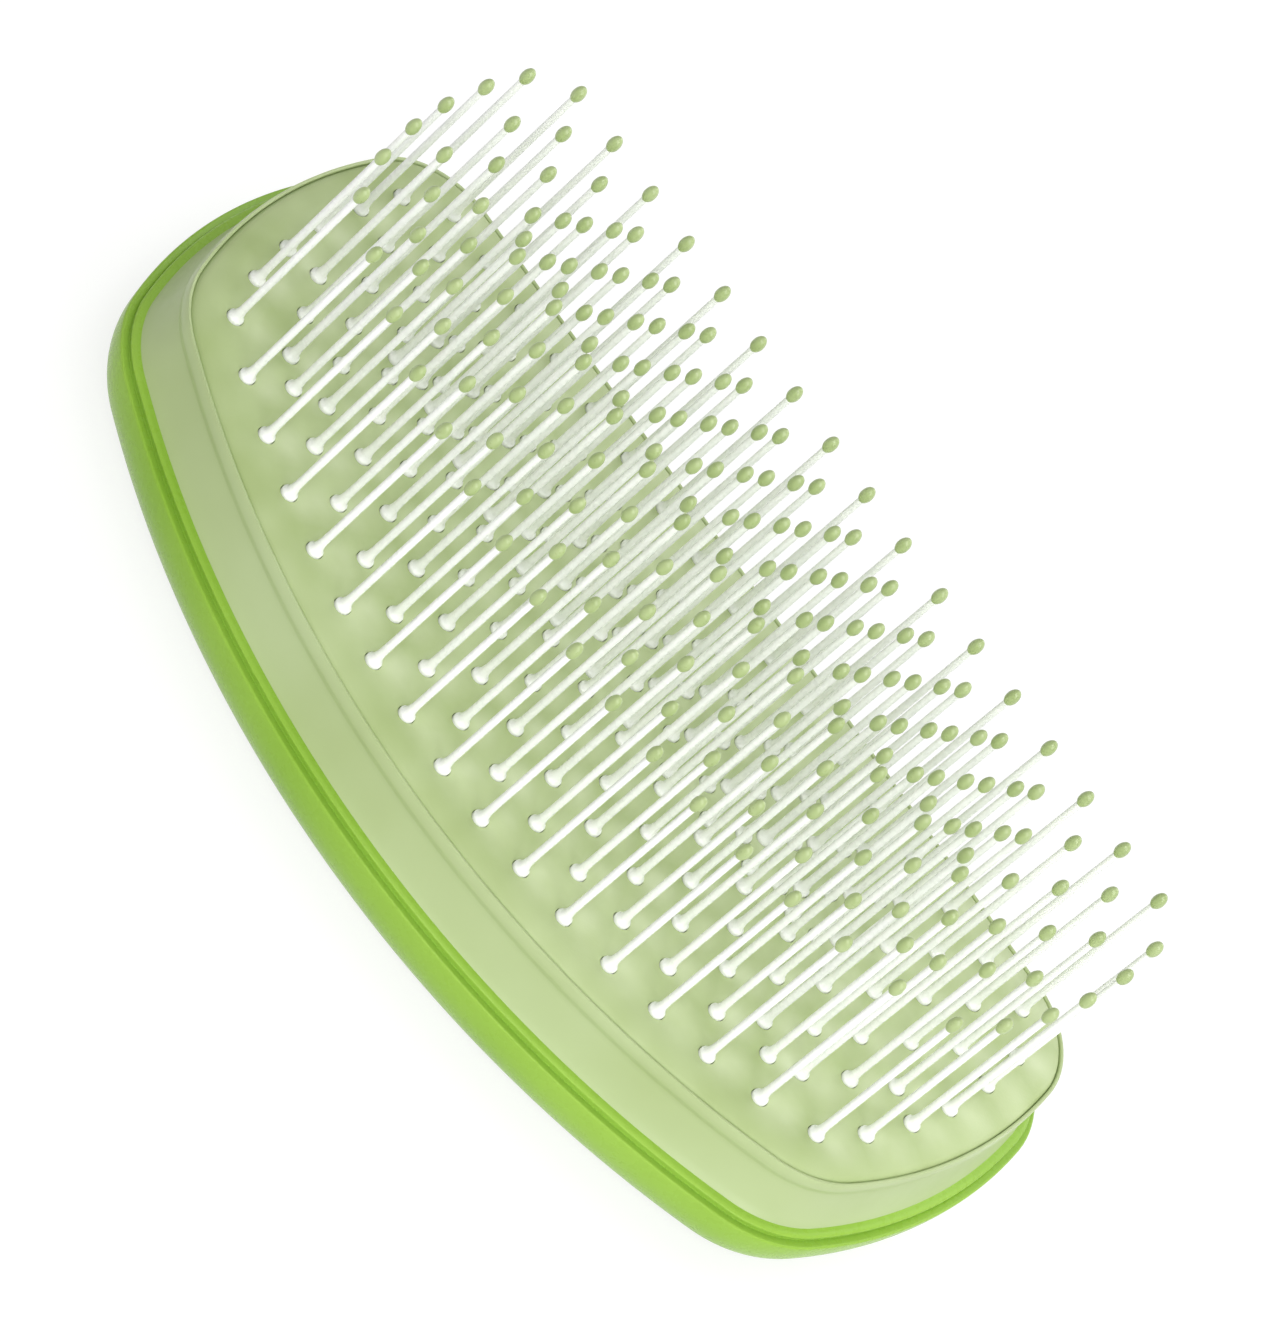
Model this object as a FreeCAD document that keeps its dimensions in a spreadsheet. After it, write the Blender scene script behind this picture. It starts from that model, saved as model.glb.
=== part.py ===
import FreeCAD, Part
import math
import os
import Sketcher

# Palm detangling brush: a hollow back shell, a coved bezel that plugs into it, a soft pad
# in the bezel's rabbet, and nine lengthwise rows of tipped pins rooted in the pad.
# The far long side is straight and the near one is bowed. Z is up and the back rests on Z = 0.

SIZES = {
    # Plan outline of the pad's edge, symmetric about X = 0
    "half_length": 55.8,
    "half_width": 27.7,
    "near_radius": 101.0,
    "end_radius": 56.0,
    "end_rise": 9.7,
    "far_corner_radius": 9.2,
    "near_corner_radius": 12.0,
    # Back shell
    "shell_reach": 3.0,
    "shell_floor": 2.4,
    "wall_top": 8.25,
    "back_run": 7.6,
    "groove_width": 0.35,
    "groove_depth": 1.0,
    "lip_height": 0.4,
    "lip_inset": 0.8,
    "lip_bevel": 0.6,
    # Bezel
    "bezel_height": 7.0,
    "bezel_waist": 0.15,
    "bezel_flare": 1.15,
    "ledge_width": 2.2,
    "spigot_depth": 3.0,
    "spigot_clearance": 0.1,
    # Soft pad
    "pad_edge": 1.6,
    "pad_clearance": 0.1,
    "crown_rise": 0.6,
    "crown_width": 2.8,
    # Pin field
    "pin_pitch": 5.88,
    "ring_inset": 4.35,
    "twin_step": 1.24,
    "twin_drop": 2.2,
    # One pin and its tip
    "root_radius": 0.85,
    "root_depth": 1.3,
    "root_clearance": 0.15,
    "root_float": 0.5,
    "flare_height": 1.1,
    "shaft_radius": 0.42,
    "neck_radius": 0.34,
    "pin_length": 20.1,
    "bead_radius": 0.72,
    "bead_foot_radius": 0.46,
    "bead_length": 2.3,
}
SIDES = 4
QUARTER = "90 deg"

# Turns of the rounded back's sections as shares of a quarter turn, from its flat to its brow
BACK_TURN_SHARES = (1.0, 0.78, 0.56, 0.36, 0.18, 0.0)
# Sections of the bezel as shares of its height and of its flare: coved skirt, waist, top roll
SKIRT_SHARES = ((0.0, 1.0), (0.25, 0.42), (0.68, 0.0), (0.8, 0.35), (1.0, 0.26))
# Rings of a bead: shares of its radius and length between its foot and its point
BEAD_RADIUS_SHARES = (1.0, 0.72)
BEAD_HEIGHT_SHARES = (0.42, 0.84)

# Rows from the far side to the near one: place across the field as a share of its half width,
# first and last place along the row in pitches, share of the near side's bow and how many
# pitches out it goes, place of the pins in the end ring as a share of the way from the near
# row's end to the far row, side of the twins
ROW_SHARES = (
    (1.000, 0.0, 8.0, 0.00, 0.0, None, 0),
    (0.773, 0.5, 7.5, 0.00, 0.0, 0.876, -1),
    (0.547, 0.0, 8.0, 0.00, 0.0, 0.720, -1),
    (0.320, 0.5, 7.5, 0.00, 0.0, 0.552, -1),
    (-0.038, 0.0, 8.0, 0.67, 5.0, 0.402, 1),
    (-0.279, 0.5, 7.5, 0.87, 5.0, 0.240, 0),
    (-0.519, 0.0, 7.0, 1.00, 5.0, 0.091, 0),
    (-0.760, 0.5, 6.5, 1.00, 7.0, None, 0),
    (-1.000, 0.0, 7.0, 1.00, 7.0, None, 0),
)
TWIN_LAST = 6.0

doc = FreeCAD.newDocument("detangling_brush")
sheet = doc.addObject("Spreadsheet::Sheet", "Sizes")
for line, (alias, number) in enumerate(SIZES.items(), start=1):
    sheet.set(f"A{line}", alias)
    sheet.set(f"B{line}", str(number))
    sheet.setAlias(f"B{line}", alias)
doc.recompute()


def size(expression):
    """Number that an expression of the sheet's sizes gives."""
    value = sheet.evalExpression(expression)
    return float(getattr(value, "Value", value))


# Heights, as expressions of the sheet's sizes
GROOVE_TOP = "Sizes.wall_top + Sizes.groove_width"
RIM = f"{GROOVE_TOP} + Sizes.lip_height"
BEZEL_TOP = f"{RIM} + Sizes.bezel_height"
LEDGE = f"{BEZEL_TOP} - Sizes.pad_edge"
PAD_TOP = f"{BEZEL_TOP} + Sizes.crown_rise"


def circles_meet(first, first_radius, second, second_radius):
    """Right one of the two points where two circles cross."""
    step = second - first
    along = (first_radius ** 2 - second_radius ** 2 + step.Length ** 2) / (2 * step.Length)
    across = math.sqrt(first_radius ** 2 - along ** 2)
    unit = step / step.Length
    middle = first + unit * along
    normal = FreeCAD.Vector(-unit.y, unit.x, 0)
    return max((middle + normal * across, middle - normal * across), key=lambda point: point.x)


def outline_arcs():
    """Centre, radius, start and end angle of the right half's arcs, from the near side up."""
    near_radius = size("Sizes.near_radius")
    end_radius = size("Sizes.end_radius")
    corner = size("Sizes.near_corner_radius")
    far_corner = size("Sizes.far_corner_radius")
    near = FreeCAD.Vector(0, near_radius - size("Sizes.half_width"), 0)
    end = FreeCAD.Vector(size("Sizes.half_length") - end_radius, size("Sizes.end_rise"), 0)
    near_corner = circles_meet(near, near_radius - corner, end, end_radius - corner)
    rise = size("Sizes.half_width") - far_corner - end.y
    run = math.sqrt((end_radius - far_corner) ** 2 - rise ** 2)
    far = end + FreeCAD.Vector(run, rise, 0)
    first = math.atan2(near_corner.y - near.y, near_corner.x - near.x)
    second = math.atan2(near_corner.y - end.y, near_corner.x - end.x)
    third = math.atan2(rise, run)
    quarter = math.pi / 2
    return (
        (near, near_radius, -quarter, first),
        (near_corner, corner, first, second),
        (end, end_radius, second, third),
        (far, far_corner, third, quarter),
    )


ARCS = outline_arcs()


def origin_plane(body):
    return next(item for item in body.Origin.OriginFeatures if item.Role == "XY_Plane")


def outline_sketch(body, name, height, reach):
    """Closed outline at a height, offset outwards by reach."""
    sketch = body.newObject("Sketcher::SketchObject", name)
    sketch.AttachmentSupport = [(origin_plane(body), "")]
    sketch.MapMode = "FlatFace"
    sketch.setExpression("AttachmentOffset.Base.z", height)
    offset = size(reach)
    upright = FreeCAD.Vector(0, 0, 1)

    def arc(place, mirrored):
        centre, radius, start, end = ARCS[place]
        middle = FreeCAD.Vector(-centre.x if mirrored else centre.x, centre.y, 0)
        circle = Part.Circle(middle, upright, radius + offset)
        if mirrored:
            start, end = math.pi - end, math.pi - start
        return Part.ArcOfCircle(circle, start, end)

    far_centre = ARCS[3][0]
    far_y = size("Sizes.half_width") + offset
    right = FreeCAD.Vector(far_centre.x, far_y, 0)
    left = FreeCAD.Vector(-far_centre.x, far_y, 0)
    near_centre, near_radius, _, near_angle = ARCS[0]
    near_circle = Part.Circle(near_centre, upright, near_radius + offset)
    near_side = Part.ArcOfCircle(near_circle, -math.pi - near_angle, near_angle)
    sketch.addGeometry(
        [Part.LineSegment(right, left), arc(3, True), arc(2, True), arc(1, True),
         near_side, arc(1, False), arc(2, False), arc(3, False)], False)
    count = sketch.GeometryCount
    for edge in range(count):
        sketch.addConstraint(Sketcher.Constraint("Tangent", edge, 2, (edge + 1) % count, 1))
    sketch.addConstraint(Sketcher.Constraint("Horizontal", 0))
    sketch.addConstraint(Sketcher.Constraint("PointOnObject", 4, 3, -2))

    def bind(label, constraint, expression):
        index = sketch.addConstraint(constraint)
        sketch.renameConstraint(index, label)
        sketch.setExpression(f"Constraints.{label}", expression)

    radii = {1: "far_corner_radius", 2: "end_radius", 3: "near_corner_radius", 4: "near_radius",
             5: "near_corner_radius", 6: "end_radius", 7: "far_corner_radius"}
    for edge, alias in radii.items():
        expression = f"Sizes.{alias} + {reach}"
        constraint = Sketcher.Constraint("Radius", edge, size(expression))
        bind(f"radius_{edge}", constraint, expression)
    expression = f"Sizes.half_width + {reach}"
    bind("far_side", Sketcher.Constraint("DistanceY", -1, 1, 0, 1, size(expression)), expression)
    expression = "Sizes.near_radius - Sizes.half_width"
    bind("near_centre", Sketcher.Constraint("DistanceY", -1, 1, 4, 3, size(expression)), expression)
    expression = "Sizes.half_length - Sizes.end_radius"
    bind("right_end", Sketcher.Constraint("DistanceX", -1, 1, 6, 3, size(expression)), expression)
    bind("left_end", Sketcher.Constraint("DistanceX", 2, 3, -1, 1, size(expression)), expression)
    expression = "Sizes.end_rise"
    for label, edge in (("right_rise", 6), ("left_rise", 2)):
        bind(label, Sketcher.Constraint("DistanceY", -1, 1, edge, 3, size(expression)), expression)
    return sketch


def loft(body, kind, name, sketches):
    feature = body.newObject(f"PartDesign::{kind}Loft", name)
    feature.Profile = sketches[0]
    feature.Sections = sketches[1:]
    feature.Ruled = True
    return feature


def prism(body, kind, name, sketch, length, upwards):
    """Pad or pocket of a sketch, by a length, upwards or downwards."""
    feature = body.newObject(f"PartDesign::{kind}", name)
    feature.Profile = sketch
    feature.setExpression("Length", length)
    feature.Reversed = upwards != (kind == "Pad")
    return feature


def new_body(name):
    body = doc.addObject("PartDesign::Body", name)
    body.Label = name
    return body


# Back shell: rounded back with a flat to rest on, shadow groove, bevelled lip, stepped hollow
def back_shell():
    body = new_body("back_shell")
    sections = [
        outline_sketch(
            body, f"back_{place}", f"Sizes.wall_top * (1 - sin({QUARTER} * {share}))",
            f"(Sizes.shell_reach - Sizes.back_run * (1 - cos({QUARTER} * {share})))")
        for place, share in enumerate(BACK_TURN_SHARES)]
    loft(body, "Additive", "back", sections)
    neck_reach = "(Sizes.shell_reach - Sizes.groove_depth)"
    neck = outline_sketch(body, "neck_outline", "Sizes.wall_top", neck_reach)
    prism(body, "Pad", "groove", neck, "Sizes.groove_width", True)
    lip_foot = outline_sketch(body, "lip_foot", GROOVE_TOP, "(Sizes.shell_reach - Sizes.lip_inset)")
    lip_reach = "(Sizes.shell_reach - Sizes.lip_inset - Sizes.lip_bevel)"
    lip_top = outline_sketch(body, "lip_top", RIM, lip_reach)
    loft(body, "Additive", "lip", [lip_foot, lip_top])
    hollow = outline_sketch(body, "hollow_outline", "Sizes.shell_floor", "(-Sizes.ledge_width)")
    prism(body, "Pocket", "hollow", hollow, f"{RIM} - Sizes.shell_floor", True)
    mouth = outline_sketch(body, "mouth_outline", RIM, "Sizes.spigot_clearance")
    prism(body, "Pocket", "mouth", mouth, "Sizes.spigot_depth", False)
    return body


# Bezel: coved skirt under a roll, with a rabbet for the pad and a spigot that plugs into the shell
def bezel_frame():
    body = new_body("bezel_frame")
    sections = [
        outline_sketch(
            body, f"skirt_{place}", f"{RIM} + Sizes.bezel_height * {height_share}",
            f"(Sizes.bezel_waist + Sizes.bezel_flare * {flare_share})")
        for place, (height_share, flare_share) in enumerate(SKIRT_SHARES)]
    loft(body, "Additive", "skirt", sections)
    spigot = outline_sketch(body, "spigot_outline", RIM, "0")
    prism(body, "Pad", "spigot", spigot, "Sizes.spigot_depth - Sizes.spigot_clearance", False)
    window_foot = f"{RIM} - Sizes.spigot_depth"
    window = outline_sketch(body, "window_outline", window_foot, "(-Sizes.ledge_width)")
    prism(body, "Pocket", "window", window, "Sizes.spigot_depth + Sizes.bezel_height", True)
    rabbet = outline_sketch(body, "rabbet_outline", BEZEL_TOP, "Sizes.pad_clearance")
    prism(body, "Pocket", "rabbet", rabbet, "Sizes.pad_edge", False)
    return body


# Soft pad: edge band and low crown
def pad_blank():
    body = new_body("pad_blank")
    edge = outline_sketch(body, "edge_outline", LEDGE, "0")
    prism(body, "Pad", "edge", edge, "Sizes.pad_edge", True)
    crown_foot = outline_sketch(body, "crown_foot", BEZEL_TOP, "0")
    crown_top = outline_sketch(body, "crown_top", PAD_TOP, "(-Sizes.crown_width)")
    loft(body, "Additive", "crown", [crown_foot, crown_top])
    return body


# Pin field
def edge_x(y, reach):
    """X of the right end of the outline, offset by reach, at a height Y across the brush."""
    for centre, radius, start, end in ARCS:
        low = centre.y + (radius + reach) * math.sin(start)
        high = centre.y + (radius + reach) * math.sin(end)
        if low <= y <= high:
            return centre.x + math.sqrt((radius + reach) ** 2 - (y - centre.y) ** 2)
    raise ValueError("no end of the outline at this place")


def bow(x):
    """How far the near side of the field has come in at a place along the brush."""
    radius = size("Sizes.near_radius - Sizes.ring_inset")
    return radius - math.sqrt(radius ** 2 - x ** 2)


def row_places(row):
    """Places of the pins of one row."""
    across_share, first, last, bow_share, bow_pitches, end_share, twin_side = row
    pitch = size("Sizes.pin_pitch")
    half_field = size("Sizes.half_width - Sizes.ring_inset")
    places = []
    step = first
    while step <= last:
        x = step * pitch
        y = across_share * half_field + bow_share * bow(min(step, bow_pitches) * pitch)
        sides = (1, -1) if step else (1,)
        for side in sides:
            places.append((side * x, y))
            if twin_side and step <= TWIN_LAST:
                twin_x = side * x - size("Sizes.twin_step")
                places.append((twin_x, y + twin_side * size("Sizes.twin_drop")))
        step += 1
    if end_share is not None:
        near_end = bow(ROW_SHARES[-1][2] * pitch) - half_field
        y = near_end + end_share * (half_field - near_end)
        x = edge_x(y, -size("Sizes.ring_inset"))
        places += [(x, y), (-x, y)]
    return places


def ring(radius, height):
    """Corners of a regular polygon about Z, or one point where the radius is zero."""
    if radius == 0:
        return [FreeCAD.Vector(0, 0, height)]
    turns = [2 * math.pi * corner / SIDES for corner in range(SIDES)]
    return [
        FreeCAD.Vector(radius * math.cos(turn), radius * math.sin(turn), height)
        for turn in turns]


def stack(profile):
    """Solid with flat sides through the rings of a profile of radii and heights."""
    rings = [ring(radius, height) for radius, height in profile]
    loops = [rings[0][::-1]]
    for lower, upper in zip(rings, rings[1:]):
        for corner in range(SIDES):
            following = (corner + 1) % SIDES
            if len(upper) == 1:
                loops.append([lower[corner], lower[following], upper[0]])
            else:
                loops.append([lower[corner], lower[following], upper[following], upper[corner]])
    if len(rings[-1]) > 1:
        loops.append(rings[-1])
    faces = [Part.Face(Part.makePolygon(loop + loop[:1])) for loop in loops]
    solid = Part.Solid(Part.Shell(faces))
    return solid if solid.Volume > 0 else solid.reversed()


def group(name, solid, places, height):
    """One object with a copy of a solid at each place."""
    feature = doc.addObject("Part::Feature", name)
    copies = [solid.translated(FreeCAD.Vector(x, y, height)) for x, y in places]
    feature.Shape = Part.makeCompound(copies)
    feature.Label = name
    return feature


def pin_solid():
    root = size("Sizes.root_radius")
    return stack((
        (root, -size("Sizes.root_depth")),
        (root, 0),
        (size("Sizes.shaft_radius"), size("Sizes.flare_height")),
        (size("Sizes.neck_radius"), size("Sizes.pin_length")),
    ))


def bead_solid():
    radius = size("Sizes.bead_radius")
    length = size("Sizes.bead_length")
    profile = [(size("Sizes.bead_foot_radius"), 0)]
    for radius_share, height_share in zip(BEAD_RADIUS_SHARES, BEAD_HEIGHT_SHARES):
        profile.append((radius * radius_share, length * height_share))
    profile.append((0, length))
    return stack(profile)


def socket_solid():
    """Blind socket for a root, open past the pad's top."""
    radius = size("Sizes.root_radius") + size("Sizes.root_clearance") / math.cos(math.pi / SIDES)
    float_room = size("Sizes.root_float")
    return stack(((radius, -size("Sizes.root_depth") - float_room), (radius, float_room)))


shell = back_shell()
bezel = bezel_frame()
blank = pad_blank()
pin_rows = [row_places(row) for row in ROW_SHARES]
every_place = [place for places in pin_rows for place in places]
sockets = group("pad_sockets", socket_solid(), every_place, size(PAD_TOP))
pad = doc.addObject("Part::Cut", "cushion_pad")
pad.Label = "cushion_pad"
pad.Base = blank
pad.Tool = sockets
nodes = [shell, bezel, pad]
for number, places in enumerate(pin_rows, start=1):
    nodes.append(group(f"pin_row_{number}", pin_solid(), places, size(PAD_TOP)))
    tip_height = size(f"{PAD_TOP} + Sizes.pin_length")
    nodes.append(group(f"tip_row_{number}", bead_solid(), places, tip_height))
doc.recompute()

for item in doc.Objects:
    if "Invalid" in item.State or "Error" in item.State:
        raise RuntimeError(f"{item.Label} failed: {item.State}")
for node in nodes:
    if node.Shape.isNull() or not node.Shape.isValid():
        raise RuntimeError(f"{node.Label} has no sound shape")

os.makedirs("parts", exist_ok=True)
for node in nodes:
    node.Shape.exportStep(f"parts/{node.Label}.step")
print("pins:", len(every_place), "nodes:", len(nodes))
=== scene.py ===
import math

import bmesh
import bpy
import numpy as np
from mathutils import Matrix, Vector
from mathutils.geometry import delaunay_2d_cdt


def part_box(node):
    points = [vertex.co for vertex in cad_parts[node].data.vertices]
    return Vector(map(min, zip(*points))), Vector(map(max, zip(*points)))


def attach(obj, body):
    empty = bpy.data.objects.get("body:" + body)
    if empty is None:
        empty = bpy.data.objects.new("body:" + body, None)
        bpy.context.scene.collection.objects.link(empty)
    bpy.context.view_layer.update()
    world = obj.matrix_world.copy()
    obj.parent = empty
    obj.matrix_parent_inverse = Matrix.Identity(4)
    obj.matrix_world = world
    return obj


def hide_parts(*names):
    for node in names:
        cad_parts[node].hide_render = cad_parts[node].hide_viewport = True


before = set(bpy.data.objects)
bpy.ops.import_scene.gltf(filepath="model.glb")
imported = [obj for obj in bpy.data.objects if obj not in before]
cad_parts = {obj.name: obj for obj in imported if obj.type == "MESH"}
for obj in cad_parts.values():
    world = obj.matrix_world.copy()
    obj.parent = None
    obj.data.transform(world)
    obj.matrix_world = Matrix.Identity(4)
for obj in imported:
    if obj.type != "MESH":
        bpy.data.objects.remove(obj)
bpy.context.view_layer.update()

# All lengths are in metres

# Plan outline of the pad's edge, symmetric about X = 0
HALF_LENGTH = 0.0558
HALF_WIDTH = 0.0277
NEAR_RADIUS = 0.101
END_RADIUS = 0.056
END_RISE = 0.0097
FAR_CORNER_RADIUS = 0.0092
NEAR_CORNER_RADIUS = 0.012
ARC_STEPS = (48, 18, 26, 18)
LINE_STEPS = 20

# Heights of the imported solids
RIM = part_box("back_shell")[1].z
BEZEL_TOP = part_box("bezel_frame")[1].z
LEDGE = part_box("cushion_pad")[0].z
PAD_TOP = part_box("cushion_pad")[1].z
TIP_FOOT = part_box("tip_row_1")[0].z
TIP_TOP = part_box("tip_row_1")[1].z

# Back shell, as reaches out of the pad's edge and heights
SHELL_REACH = 0.003
WALL_TOP = 0.00825
BACK_RUN = 0.0076
BACK_STEPS = 22
GROOVE_REACH = 0.0020
GROOVE_FLOOR = 0.00805
GROOVE_TOP = 0.0086
LIP_REACH = 0.0022
LIP_BEVEL = 0.0006
LIP_ROUND = 0.0003
LIP_STEPS = 9
SHELL_INNER_REACH = 0.0004
SHELL_INNER_DROP = 0.0012
BROW_ROUND = 0.0003
GROOVE_ROUND = 0.00009

# Bezel, with its skirt as shares of its height and of its flare
BEZEL_WAIST = 0.00015
BEZEL_FLARE = 0.00115
SKIRT_SHARES = (
    (0.0, 1.0), (0.05, 0.79), (0.12, 0.60), (0.22, 0.42), (0.36, 0.235), (0.5, 0.095),
    (0.61, 0.015), (0.68, 0.0), (0.725, 0.06), (0.765, 0.19), (0.81, 0.31), (0.86, 0.355),
    (0.92, 0.35), (0.965, 0.315), (1.0, 0.25),
)
BEZEL_INNER = 0.0001
BEZEL_LEDGE = 0.0022
BEZEL_ROOT = 0.0029
TOP_ROUND = 0.00022
CORNER_STEPS = 5

# Soft pad: rounded edge, dimple and painted patch of light at each pin, wells for the roots, grid
# between
PAD_REACH = 0.00009
CROWN_WIDTH = 0.0028
EDGE_ROUND = 0.0006
EDGE_DROP = 0.0005
EDGE_INSETS = (0.0, 0.00004, 0.00014, 0.0003, 0.0005, 0.0008, 0.0012, 0.0017, 0.0023)
DIMPLE_DEPTH = 0.00022
DIMPLE_RADIUS = 0.0016
PAINTED_GLOW_RADIUS = 0.0022
PAINTED_GLOW_SHIFT = (0.0015, 0.0016)
WELL_RADIUS = 0.00097
WELL_DEPTH = 0.0018
WELL_RINGS = (WELL_RADIUS, 0.00112, 0.0014, 0.0018)
WELL_CORNERS = 16
FILL_STEP = 0.0012
FILL_ROOM = 0.0022
MERGE = 1e-8

# Pin and bead profiles as radii and heights, and how finely they are turned
PIN_PROFILE = (
    (0.00084, -0.0013), (0.00088, -0.00125), (0.00088, 0.00002), (0.00086, 0.00010),
    (0.00078, 0.00019), (0.00066, 0.00034), (0.00056, 0.00058), (0.00048, 0.00092),
    (0.00043, 0.0014), (0.00041, 0.0030), (0.00039, 0.0100), (0.00037, 0.0170),
    (0.00036, 0.0207),
)
PIN_SEGMENTS = 16
BEAD_RADIUS = 0.00065
BEAD_FOOT_RISE = 0.00022
BEAD_WAIST_SHARE = 0.45
BEAD_FOOT_TURN = 0.74
BEAD_STEPS = 7
BEAD_SEGMENTS = 18

# Rows of pins, how far apart the vertices of one neck can be, and how deep its top band is
ROW_COUNT = 9
ONE_PIN = 0.001
TOP_BAND = 0.0001

# Edges that are sharper than this stay sharp
SHARP_ANGLE = math.radians(38)

# Values of a noise between which its effect runs
NOISE_SPAN = (0.3, 0.7)


def circles_meet(first, first_radius, second, second_radius):
    """Right one of the two points where two circles cross."""
    step = second - first
    along = (first_radius ** 2 - second_radius ** 2 + step.length ** 2) / (2 * step.length)
    across = math.sqrt(first_radius ** 2 - along ** 2)
    unit = step.normalized()
    middle = first + unit * along
    normal = Vector((-unit.y, unit.x))
    return max((middle + normal * across, middle - normal * across), key=lambda point: point.x)


def plan_outline():
    """Points of the pad's edge and their outward directions, anticlockwise from the near side."""
    near = Vector((0, NEAR_RADIUS - HALF_WIDTH))
    end = Vector((HALF_LENGTH - END_RADIUS, END_RISE))
    corner = circles_meet(
        near, NEAR_RADIUS - NEAR_CORNER_RADIUS, end, END_RADIUS - NEAR_CORNER_RADIUS)
    rise = HALF_WIDTH - FAR_CORNER_RADIUS - END_RISE
    run = math.sqrt((END_RADIUS - FAR_CORNER_RADIUS) ** 2 - rise ** 2)
    far = end + Vector((run, rise))
    first = math.atan2(corner.y - near.y, corner.x - near.x)
    second = math.atan2(corner.y - end.y, corner.x - end.x)
    third = math.atan2(rise, run)
    quarter = math.pi / 2
    arcs = (
        (near, NEAR_RADIUS, -quarter, first),
        (corner, NEAR_CORNER_RADIUS, first, second),
        (end, END_RADIUS, second, third),
        (far, FAR_CORNER_RADIUS, third, quarter),
    )
    right = []
    for (centre, radius, start, stop), steps in zip(arcs, ARC_STEPS):
        for step in range(steps):
            turn = start + (stop - start) * step / steps
            out = (math.cos(turn), math.sin(turn))
            right.append((centre.x + radius * out[0], centre.y + radius * out[1], *out))
    for step in range(LINE_STEPS + 1):
        right.append((far.x * (1 - step / LINE_STEPS), HALF_WIDTH, 0.0, 1.0))
    left = [(-x, y, -out_x, out_y) for x, y, out_x, out_y in reversed(right[1:-1])]
    return np.array(right + left)


OUTLINE = plan_outline()


def offset_ring(reach):
    """Outline offset outwards by reach, as points in plan."""
    return OUTLINE[:, :2] + OUTLINE[:, 2:] * reach


def rounded(corners, closed=False):
    """Profile through corners of reach, height and radius, each rounded by its radius."""
    profile = []
    for place, (reach, height, radius) in enumerate(corners):
        corner = Vector((reach, height))
        ends = not closed and place in (0, len(corners) - 1)
        if ends or radius == 0:
            profile.append((reach, height))
            continue
        before = Vector(corners[place - 1][:2])
        after = Vector(corners[(place + 1) % len(corners)][:2])
        start = corner + (before - corner).normalized() * radius
        stop = corner + (after - corner).normalized() * radius
        for step in range(CORNER_STEPS + 1):
            share = step / CORNER_STEPS
            point = (
                start * (1 - share) ** 2 + corner * 2 * share * (1 - share) + stop * share ** 2)
            profile.append((point.x, point.y))
    return profile


def sweep(profile, closed):
    """Vertices and faces of a profile of reaches and heights carried round the outline."""
    count = len(OUTLINE)
    vertices = [(x, y, height) for reach, height in profile for x, y in offset_ring(reach)]
    faces = []
    for ring in range(len(profile) if closed else len(profile) - 1):
        lower = ring * count
        upper = (ring + 1) % len(profile) * count
        for place in range(count):
            following = (place + 1) % count
            faces.append((lower + place, lower + following, upper + following, upper + place))
    if not closed:
        faces.append(tuple(range(count)))
        faces.append(tuple(range(len(vertices) - count, len(vertices))))
    return vertices, faces


def lathe(profile, segments):
    """Vertices and faces of a profile of radii and heights turned about Z."""
    vertices, rings = [], []
    for radius, height in profile:
        count = 1 if radius == 0 else segments
        turns = [2 * math.pi * step / segments for step in range(count)]
        rings.append(range(len(vertices), len(vertices) + len(turns)))
        vertices += [(radius * math.cos(turn), radius * math.sin(turn), height) for turn in turns]
    faces = [tuple(rings[0])]
    for lower, upper in zip(rings, rings[1:]):
        for step in range(segments):
            following = (step + 1) % segments
            if len(upper) == 1:
                faces.append((lower[step], lower[following], upper[0]))
            else:
                faces.append((lower[step], lower[following], upper[following], upper[step]))
    if len(rings[-1]) > 1:
        faces.append(tuple(rings[-1]))
    return vertices, faces


def make_piece(name, vertices, faces, material, body, slot, node):
    """Smooth closed mesh that rides on a body and stands for a CAD node."""
    mesh = bpy.data.meshes.new(name)
    mesh.from_pydata(vertices, [], faces)
    work = bmesh.new()
    work.from_mesh(mesh)
    bmesh.ops.recalc_face_normals(work, faces=work.faces)
    work.to_mesh(mesh)
    work.free()
    mesh.shade_smooth()
    mesh.set_sharp_from_angle(angle=SHARP_ANGLE)
    mesh.materials.append(material)
    piece = bpy.data.objects.new(name, mesh)
    bpy.context.scene.collection.objects.link(piece)
    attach(piece, body)
    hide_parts(node)
    return piece


def linear(red, green, blue):
    """Linear colour of an sRGB colour written from 0 to 255."""
    shares = [channel / 255 for channel in (red, green, blue)]
    return tuple(
        share / 12.92 if share <= 0.04045 else ((share + 0.055) / 1.055) ** 2.4
        for share in shares) + (1.0,)


def grey(level):
    """Linear grey of a level from 0 to 1."""
    return (level, level, level, 1.0)


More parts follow.
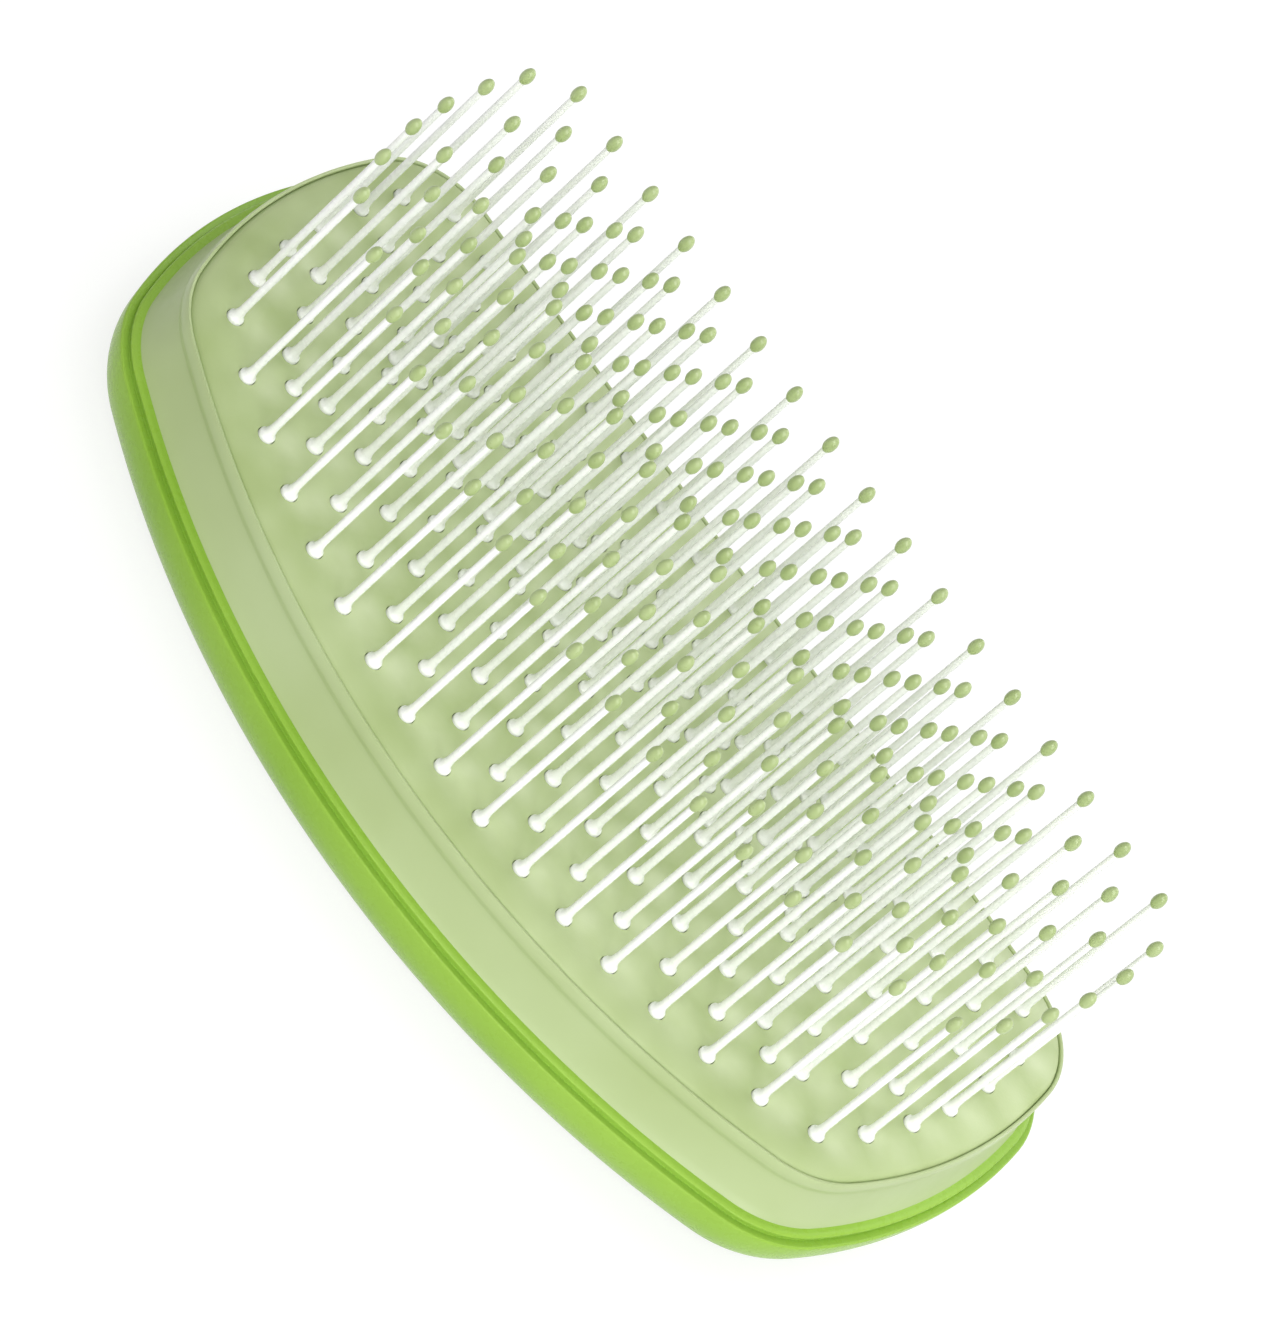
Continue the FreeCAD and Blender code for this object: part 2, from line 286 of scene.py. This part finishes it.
class Finish:
    """Node material on a Principled shader, with textures in the object's own coordinates."""

    def __init__(self, name, **values):
        self.material = bpy.data.materials.new(name)
        self.material.use_nodes = True
        self.tree = self.material.node_tree
        self.shader = self.tree.nodes["Principled BSDF"]
        for socket, value in values.items():
            self.shader.inputs[socket.replace("_", " ")].default_value = value
        self.place = self.tree.nodes.new("ShaderNodeTexCoord")

    def link(self, source, target):
        self.tree.links.new(source, target)

    def noise(self, scale, detail=2.0):
        node = self.tree.nodes.new("ShaderNodeTexNoise")
        node.inputs["Scale"].default_value = scale
        node.inputs["Detail"].default_value = detail
        self.link(self.place.outputs["Object"], node.inputs["Vector"])
        return node.outputs["Fac"]

    def attribute(self, name):
        node = self.tree.nodes.new("ShaderNodeAttribute")
        node.attribute_name = name
        return node.outputs["Fac"]

    def ramp(self, factor, low, high):
        """Colour that goes from low to high over the noise's span."""
        node = self.tree.nodes.new("ShaderNodeValToRGB")
        for element, place, colour in zip(node.color_ramp.elements, NOISE_SPAN, (low, high)):
            element.position = place
            element.color = colour
        self.link(factor, node.inputs["Fac"])
        return node.outputs["Color"]

    def mix(self, factor, first, second):
        node = self.tree.nodes.new("ShaderNodeMix")
        node.data_type = "RGBA"
        self.link(factor, node.inputs["Factor"])
        self.link(first, node.inputs["A"])
        self.link(second, node.inputs["B"])
        return node.outputs["Result"]

    def spread(self, factor, low, high):
        """Number that goes from low to high over the noise's span."""
        node = self.tree.nodes.new("ShaderNodeMapRange")
        node.inputs["From Min"].default_value, node.inputs["From Max"].default_value = NOISE_SPAN
        node.inputs["To Min"].default_value = low
        node.inputs["To Max"].default_value = high
        self.link(factor, node.inputs["Value"])
        return node.outputs["Result"]

    def bump(self, height, strength, distance):
        node = self.tree.nodes.new("ShaderNodeBump")
        node.inputs["Strength"].default_value = strength
        node.inputs["Distance"].default_value = distance
        self.link(height, node.inputs["Height"])
        self.link(node.outputs["Normal"], self.shader.inputs["Normal"])

    def colour(self, output):
        self.link(output, self.shader.inputs["Base Color"])

    def roughness(self, output):
        self.link(output, self.shader.inputs["Roughness"])


def shell_finish():
    """Glossy moulded plastic."""
    finish = Finish("shell_gloss", Specular_IOR_Level=0.16)
    finish.colour(finish.ramp(
        finish.noise(scale=38.0), low=linear(140, 182, 62), high=linear(153, 193, 76)))
    finish.roughness(finish.spread(finish.noise(scale=900.0, detail=3.0), low=0.24, high=0.32))
    finish.bump(finish.noise(scale=420.0), strength=0.04, distance=0.0002)
    return finish.material


def bezel_finish():
    """Satin moulded plastic."""
    finish = Finish("bezel_satin")
    finish.colour(finish.ramp(
        finish.noise(scale=60.0), low=linear(170, 187, 129), high=linear(182, 198, 146)))
    finish.roughness(finish.spread(finish.noise(scale=420.0), low=0.34, high=0.44))
    finish.bump(finish.noise(scale=700.0), strength=0.02, distance=0.0001)
    return finish.material


def pad_finish():
    """Matt rubber, with painted light as a paler patch beside each pin's foot."""
    finish = Finish("pad_rubber", Specular_IOR_Level=0.35)
    ground = finish.ramp(
        finish.noise(scale=150.0, detail=1.0),
        low=linear(168, 186, 126), high=linear(184, 200, 147))
    # Painted light: the paler colour beside each pin's foot, mixed in by the foot attribute
    glow = finish.ramp(
        finish.noise(scale=260.0, detail=1.0),
        low=linear(191, 206, 155), high=linear(207, 219, 178))
    finish.colour(finish.mix(finish.attribute("foot"), ground, glow))
    finish.roughness(finish.spread(finish.noise(scale=1100.0, detail=3.0), low=0.42, high=0.58))
    finish.bump(finish.noise(scale=3800.0, detail=3.0), strength=0.1, distance=0.0001)
    return finish.material


def pin_finish():
    """Smooth near-white nylon."""
    finish = Finish("pin_nylon", IOR=1.53)
    finish.colour(finish.ramp(
        finish.noise(scale=300.0), low=linear(245, 248, 243), high=linear(251, 252, 249)))
    finish.roughness(finish.spread(finish.noise(scale=1500.0), low=0.22, high=0.34))
    finish.bump(finish.noise(scale=2600.0), strength=0.05, distance=0.0001)
    return finish.material


def bead_finish():
    """Coated resin."""
    finish = Finish("tip_resin", Coat_Weight=0.25, Coat_Roughness=0.12)
    finish.colour(finish.ramp(
        finish.noise(scale=420.0), low=linear(162, 181, 118), high=linear(178, 195, 137)))
    finish.roughness(finish.spread(finish.noise(scale=2200.0), low=0.26, high=0.38))
    finish.bump(finish.noise(scale=3000.0), strength=0.06, distance=0.0001)
    return finish.material


def shell_piece():
    """Rounded back with a flat to rest on, a shadow groove and a rounded lip."""
    back = []
    for step in range(BACK_STEPS):
        turn = math.pi / 2 * (1 - step / BACK_STEPS)
        back.append((
            SHELL_REACH - BACK_RUN * (1 - math.cos(turn)), WALL_TOP * (1 - math.sin(turn))))
    brow = rounded((
        (*back[-1], 0),
        (SHELL_REACH, WALL_TOP, BROW_ROUND),
        (GROOVE_REACH, GROOVE_FLOOR, GROOVE_ROUND),
        (GROOVE_REACH, GROOVE_TOP, GROOVE_ROUND),
        (LIP_REACH, GROOVE_TOP, GROOVE_ROUND),
        (LIP_REACH, RIM - LIP_ROUND, 0),
    ))
    lip = []
    for step in range(1, LIP_STEPS + 1):
        turn = math.pi / 2 * step / LIP_STEPS
        lip.append((
            LIP_REACH - LIP_BEVEL * (1 - math.cos(turn)), RIM - LIP_ROUND * (1 - math.sin(turn))))
    inner = [(SHELL_INNER_REACH, RIM), (SHELL_INNER_REACH, RIM - SHELL_INNER_DROP)]
    vertices, faces = sweep(back + brow[1:] + lip + inner, closed=False)
    make_piece("shell", vertices, faces, shell_finish(), "housing", "shell_gloss", "back_shell")


def bezel_piece():
    """Coved band under a roll, with a rabbet and a spigot."""
    height = BEZEL_TOP - RIM
    corners = [
        (BEZEL_WAIST + BEZEL_FLARE * flare_share, RIM + height * height_share, 0)
        for height_share, flare_share in SKIRT_SHARES]
    corners += [
        (BEZEL_INNER, BEZEL_TOP, TOP_ROUND),
        (BEZEL_INNER, LEDGE, 0),
        (-BEZEL_LEDGE, LEDGE, 0),
        (-BEZEL_LEDGE, RIM - BEZEL_ROOT, 0),
        (0.0, RIM - BEZEL_ROOT, 0),
        (0.0, RIM, 0),
    ]
    vertices, faces = sweep(rounded(corners, closed=True), closed=True)
    make_piece("bezel", vertices, faces, bezel_finish(), "housing", "bezel_satin", "bezel_frame")


def row_places(number):
    """Places in plan of one row's pins, from the necks of its solids."""
    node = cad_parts[f"pin_row_{number}"]
    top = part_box(node.name)[1].z
    clusters = []
    for vertex in node.data.vertices:
        if vertex.co.z < top - TOP_BAND:
            continue
        point = vertex.co.xy
        for cluster in clusters:
            if (cluster[0] - point).length < ONE_PIN:
                cluster.append(point)
                break
        else:
            clusters.append([point.copy()])
    places = []
    for cluster in clusters:
        xs = [point.x for point in cluster]
        ys = [point.y for point in cluster]
        places.append(((min(xs) + max(xs)) / 2, (min(ys) + max(ys)) / 2))
    return sorted(places)


def pad_piece(places):
    """Crowned rubber pad with a rounded edge, a dimple and a well at each pin."""
    feet = np.array(places)
    edge = offset_ring(PAD_REACH)

    def measures(points):
        """Distance of each point from the pad's edge and from the nearest pin, and which pin."""
        inset = np.array([np.hypot(*(edge - point).T).min() for point in points])
        away = np.array([np.hypot(*(feet - point).T) for point in points])
        return inset, away.min(axis=1), away.argmin(axis=1)

    plan = [offset_ring(PAD_REACH - inset) for inset in EDGE_INSETS]
    turns = 2 * np.pi * np.arange(WELL_CORNERS) / WELL_CORNERS
    wells = []
    for place, foot in enumerate(feet):
        for ring, radius in enumerate(WELL_RINGS):
            shift = turns + ring * np.pi / WELL_CORNERS
            points = foot + radius * np.column_stack((np.cos(shift), np.sin(shift)))
            if ring == 0:
                wells.append(sum(len(part) for part in plan))
            else:
                points = points[measures(points)[2] == place]
            plan.append(points)
    columns = np.arange(-HALF_LENGTH, HALF_LENGTH, FILL_STEP)
    lines = np.arange(-HALF_WIDTH, HALF_WIDTH, FILL_STEP * math.sqrt(3) / 2)
    grid = np.array([
        (x + FILL_STEP / 2 * (line % 2), y) for line, y in enumerate(lines) for x in columns])
    inside = [
        np.all(((edge - point) * OUTLINE[:, 2:]).sum(axis=1) > 0) for point in grid]
    grid = grid[inside]
    inset, away, _ = measures(grid)
    plan.append(grid[(inset > CROWN_WIDTH) & (away > FILL_ROOM)])
    plan = np.concatenate(plan)

    inset, away, _ = measures(plan)
    crown = 1 - (1 - np.clip(inset / CROWN_WIDTH, 0, 1)) ** 2
    brow = 1 - np.sqrt(1 - (1 - np.clip(inset / EDGE_ROUND, 0, 1)) ** 2)
    height = BEZEL_TOP + (PAD_TOP - BEZEL_TOP) * crown - EDGE_DROP * brow
    height -= DIMPLE_DEPTH * np.exp(-(away / DIMPLE_RADIUS) ** 2)
    points, _, triangles, sources, _, _ = delaunay_2d_cdt(
        [Vector(point) for point in plan], [], [], 0, MERGE)
    where = {source: place for place, group in enumerate(sources) for source in group}
    vertices = [
        (point.x, point.y, height[group[0]]) for point, group in zip(points, sources)]
    # Painted light: a paler patch set off to one side of each pin's foot, kept as the foot
    # attribute
    lit = measures(plan - np.array(PAINTED_GLOW_SHIFT))[1]
    glow = [math.exp(-(lit[group[0]] / PAINTED_GLOW_RADIUS) ** 2) for group in sources]
    well_of = {
        where[start + corner]: start for start in wells for corner in range(WELL_CORNERS)}
    faces = []
    for triangle in triangles:
        owners = {well_of.get(corner) for corner in triangle}
        if len(owners) > 1 or None in owners:
            faces.append(tuple(triangle))

    def wall(top, bottom_height):
        """Wall from a closed line of vertices down to a flat bottom."""
        bottom = range(len(vertices), len(vertices) + len(top))
        vertices.extend((*vertices[corner][:2], bottom_height) for corner in top)
        glow.extend(glow[corner] for corner in top)
        for step in range(len(top)):
            following = (step + 1) % len(top)
            faces.append((top[step], top[following], bottom[following], bottom[step]))
        faces.append(tuple(bottom))

    wall([where[corner] for corner in range(len(OUTLINE))], LEDGE)
    for start in wells:
        wall([where[start + corner] for corner in range(WELL_CORNERS)], PAD_TOP - WELL_DEPTH)
    pad = make_piece(
        "pad", vertices, faces, pad_finish(), "housing", "pad_rubber", "cushion_pad")
    # The foot attribute holds the painted light beside each pin
    pad.data.attributes.new("foot", "FLOAT", "POINT").data.foreach_set("value", glow)


def bead_profile():
    """Egg from its foot to its point."""
    length = TIP_TOP - TIP_FOOT - BEAD_FOOT_RISE
    waist = length * BEAD_WAIST_SHARE
    profile = []
    lower = waist / math.sin(math.pi / 2 * BEAD_FOOT_TURN)
    for step in range(BEAD_STEPS):
        turn = math.pi / 2 * BEAD_FOOT_TURN * (1 - step / BEAD_STEPS)
        profile.append((BEAD_RADIUS * math.cos(turn), waist - lower * math.sin(turn)))
    for step in range(BEAD_STEPS):
        turn = math.pi / 2 * step / BEAD_STEPS
        profile.append((BEAD_RADIUS * math.cos(turn), waist + (length - waist) * math.sin(turn)))
    profile.append((0, length))
    return profile


def copies(vertices, faces, places, height):
    """One mesh of a copy at each place."""
    many, sides = [], []
    for x, y in places:
        start = len(many)
        many += [(x + corner[0], y + corner[1], height + corner[2]) for corner in vertices]
        sides += [tuple(start + corner for corner in face) for face in faces]
    return many, sides


shell_piece()
bezel_piece()
rows = {number: row_places(number) for number in range(1, ROW_COUNT + 1)}
pad_piece([place for places in rows.values() for place in places])
pin = lathe(PIN_PROFILE, PIN_SEGMENTS)
bead = lathe(bead_profile(), BEAD_SEGMENTS)
nylon = pin_finish()
resin = bead_finish()
for number, places in rows.items():
    body = f"row_{number}"
    make_piece(
        f"{body}_pins", *copies(*pin, places, PAD_TOP), nylon, body,
        "pin_nylon", f"pin_row_{number}")
    make_piece(
        f"{body}_beads", *copies(*bead, places, TIP_FOOT + BEAD_FOOT_RISE), resin, body,
        "tip_resin", f"tip_row_{number}")

# Stage: a pale floor that the camera sees as white, with the object's shadow kept faint
FLOOR_HALF = 3.0
FLOOR_WHITE = 0.8
FLOOR_GLOW = 0.8
FLOOR_SHADE = 0.26
FLOOR_CORNERS = ((-1, -1), (1, -1), (1, 1), (-1, 1))

# Light: a pale room, darker at the left end, with soft lamps all round. A lamp has a place,
# a diameter and a power in watts
ROOM_STRENGTHS = (0.2, 0.68)
LAMPS = {
    "side_lamp": ((1.1, -0.8, 0.5), 0.9, 7.0),
    "front_lamp": ((0.15, -0.78, 0.68), 0.6, 4.2),
    "top_lamp": ((0.05, -0.05, 1.6), 0.8, 2.8),
    "back_lamp": ((0.3, 1.0, 0.75), 1.2, 6.5),
}
LAMP_TARGET = Vector((0.0, 0.0, 0.02))

# Camera at the photograph's view, with its lens and sensor in millimetres
CAMERA_PLACE = (0.08936, -0.60247, 0.5488)
CAMERA_RIGHT = (0.5774, 0.5835, 0.5710)
CAMERA_DOWN = (0.8091, -0.3156, -0.4957)
CAMERA_FORWARD = (-0.1090, 0.7483, -0.6544)
CAMERA_LENS = 231.6
CAMERA_SENSOR = 36.0


def seen_directly(tree):
    """1 for rays from the camera or off a glossy or clear surface, and 0 for diffuse light."""
    path = tree.nodes.new("ShaderNodeLightPath")
    outputs = [path.outputs[f"Is {kind} Ray"] for kind in ("Camera", "Glossy", "Transmission")]
    total = outputs[0]
    for output in outputs[1:]:
        node = tree.nodes.new("ShaderNodeMath")
        node.operation = "MAXIMUM"
        tree.links.new(total, node.inputs[0])
        tree.links.new(output, node.inputs[1])
        total = node.outputs[0]
    return total


def pick_by_ray(tree, diffuse_light, direct_view):
    """Shader that diffuse light meets as the first one, and the camera sees as the second."""
    pick = tree.nodes.new("ShaderNodeMixShader")
    tree.links.new(seen_directly(tree), pick.inputs["Fac"])
    tree.links.new(diffuse_light, pick.inputs[1])
    tree.links.new(direct_view, pick.inputs[2])
    return pick.outputs[0]


def floor_finish():
    """Pale floor that looks white, with a faint shadow."""
    material = bpy.data.materials.new("floor")
    material.use_nodes = True
    tree = material.node_tree
    tree.nodes.clear()
    white = tree.nodes.new("ShaderNodeBsdfDiffuse")
    white.inputs["Color"].default_value = grey(FLOOR_WHITE)
    shade = tree.nodes.new("ShaderNodeBsdfDiffuse")
    shade.inputs["Color"].default_value = grey(FLOOR_SHADE)
    glow = tree.nodes.new("ShaderNodeEmission")
    glow.inputs["Strength"].default_value = FLOOR_GLOW
    seen = tree.nodes.new("ShaderNodeAddShader")
    tree.links.new(shade.outputs[0], seen.inputs[0])
    tree.links.new(glow.outputs[0], seen.inputs[1])
    output = tree.nodes.new("ShaderNodeOutputMaterial")
    tree.links.new(
        pick_by_ray(tree, white.outputs[0], seen.outputs[0]), output.inputs["Surface"])
    return material


def floor_stage():
    """Square floor under the object."""
    mesh = bpy.data.meshes.new("floor")
    corners = [(x * FLOOR_HALF, y * FLOOR_HALF, 0.0) for x, y in FLOOR_CORNERS]
    mesh.from_pydata(corners, [], [range(len(corners))])
    mesh.materials.append(floor_finish())
    floor = bpy.data.objects.new("floor", mesh)
    bpy.context.scene.collection.objects.link(floor)


def room_light():
    """World whose light falls off from right to left, and that looks white."""
    world = bpy.data.worlds.new("room")
    bpy.context.scene.world = world
    world.use_nodes = True
    tree = world.node_tree
    tree.nodes.clear()
    room = tree.nodes.new("ShaderNodeBackground")
    room.inputs["Color"].default_value = grey(1.0)
    aim = tree.nodes.new("ShaderNodeTexCoord")
    split = tree.nodes.new("ShaderNodeSeparateXYZ")
    fall = tree.nodes.new("ShaderNodeMapRange")
    fall.inputs["From Min"].default_value = -1.0
    fall.inputs["To Min"].default_value, fall.inputs["To Max"].default_value = ROOM_STRENGTHS
    tree.links.new(aim.outputs["Generated"], split.inputs[0])
    tree.links.new(split.outputs["X"], fall.inputs["Value"])
    tree.links.new(fall.outputs["Result"], room.inputs["Strength"])
    backdrop = tree.nodes.new("ShaderNodeBackground")
    backdrop.inputs["Color"].default_value = grey(1.0)
    sky = tree.nodes.new("ShaderNodeOutputWorld")
    tree.links.new(
        pick_by_ray(tree, room.outputs[0], backdrop.outputs[0]), sky.inputs["Surface"])


def lamp_light(name, place, diameter, power):
    """Round soft lamp that is aimed at the object."""
    data = bpy.data.lights.new(name, "AREA")
    data.shape = "DISK"
    data.size = diameter
    data.energy = power
    lamp = bpy.data.objects.new(name, data)
    lamp.location = place
    lamp.rotation_euler = (LAMP_TARGET - lamp.location).to_track_quat("-Z", "Y").to_euler()
    bpy.context.scene.collection.objects.link(lamp)


def photograph_camera():
    """Camera that was fitted to the photograph."""
    data = bpy.data.cameras.new("camera")
    data.sensor_fit = "VERTICAL"
    data.sensor_height = CAMERA_SENSOR
    data.lens = CAMERA_LENS
    camera = bpy.data.objects.new("camera", data)
    axes = Matrix((CAMERA_RIGHT, -Vector(CAMERA_DOWN), -Vector(CAMERA_FORWARD))).transposed()
    camera.matrix_world = Matrix.Translation(CAMERA_PLACE) @ axes.to_4x4()
    bpy.context.scene.collection.objects.link(camera)
    bpy.context.scene.camera = camera


floor_stage()
room_light()
for name, lamp in LAMPS.items():
    lamp_light(name, *lamp)
photograph_camera()
bpy.context.scene.view_settings.view_transform = "Standard"
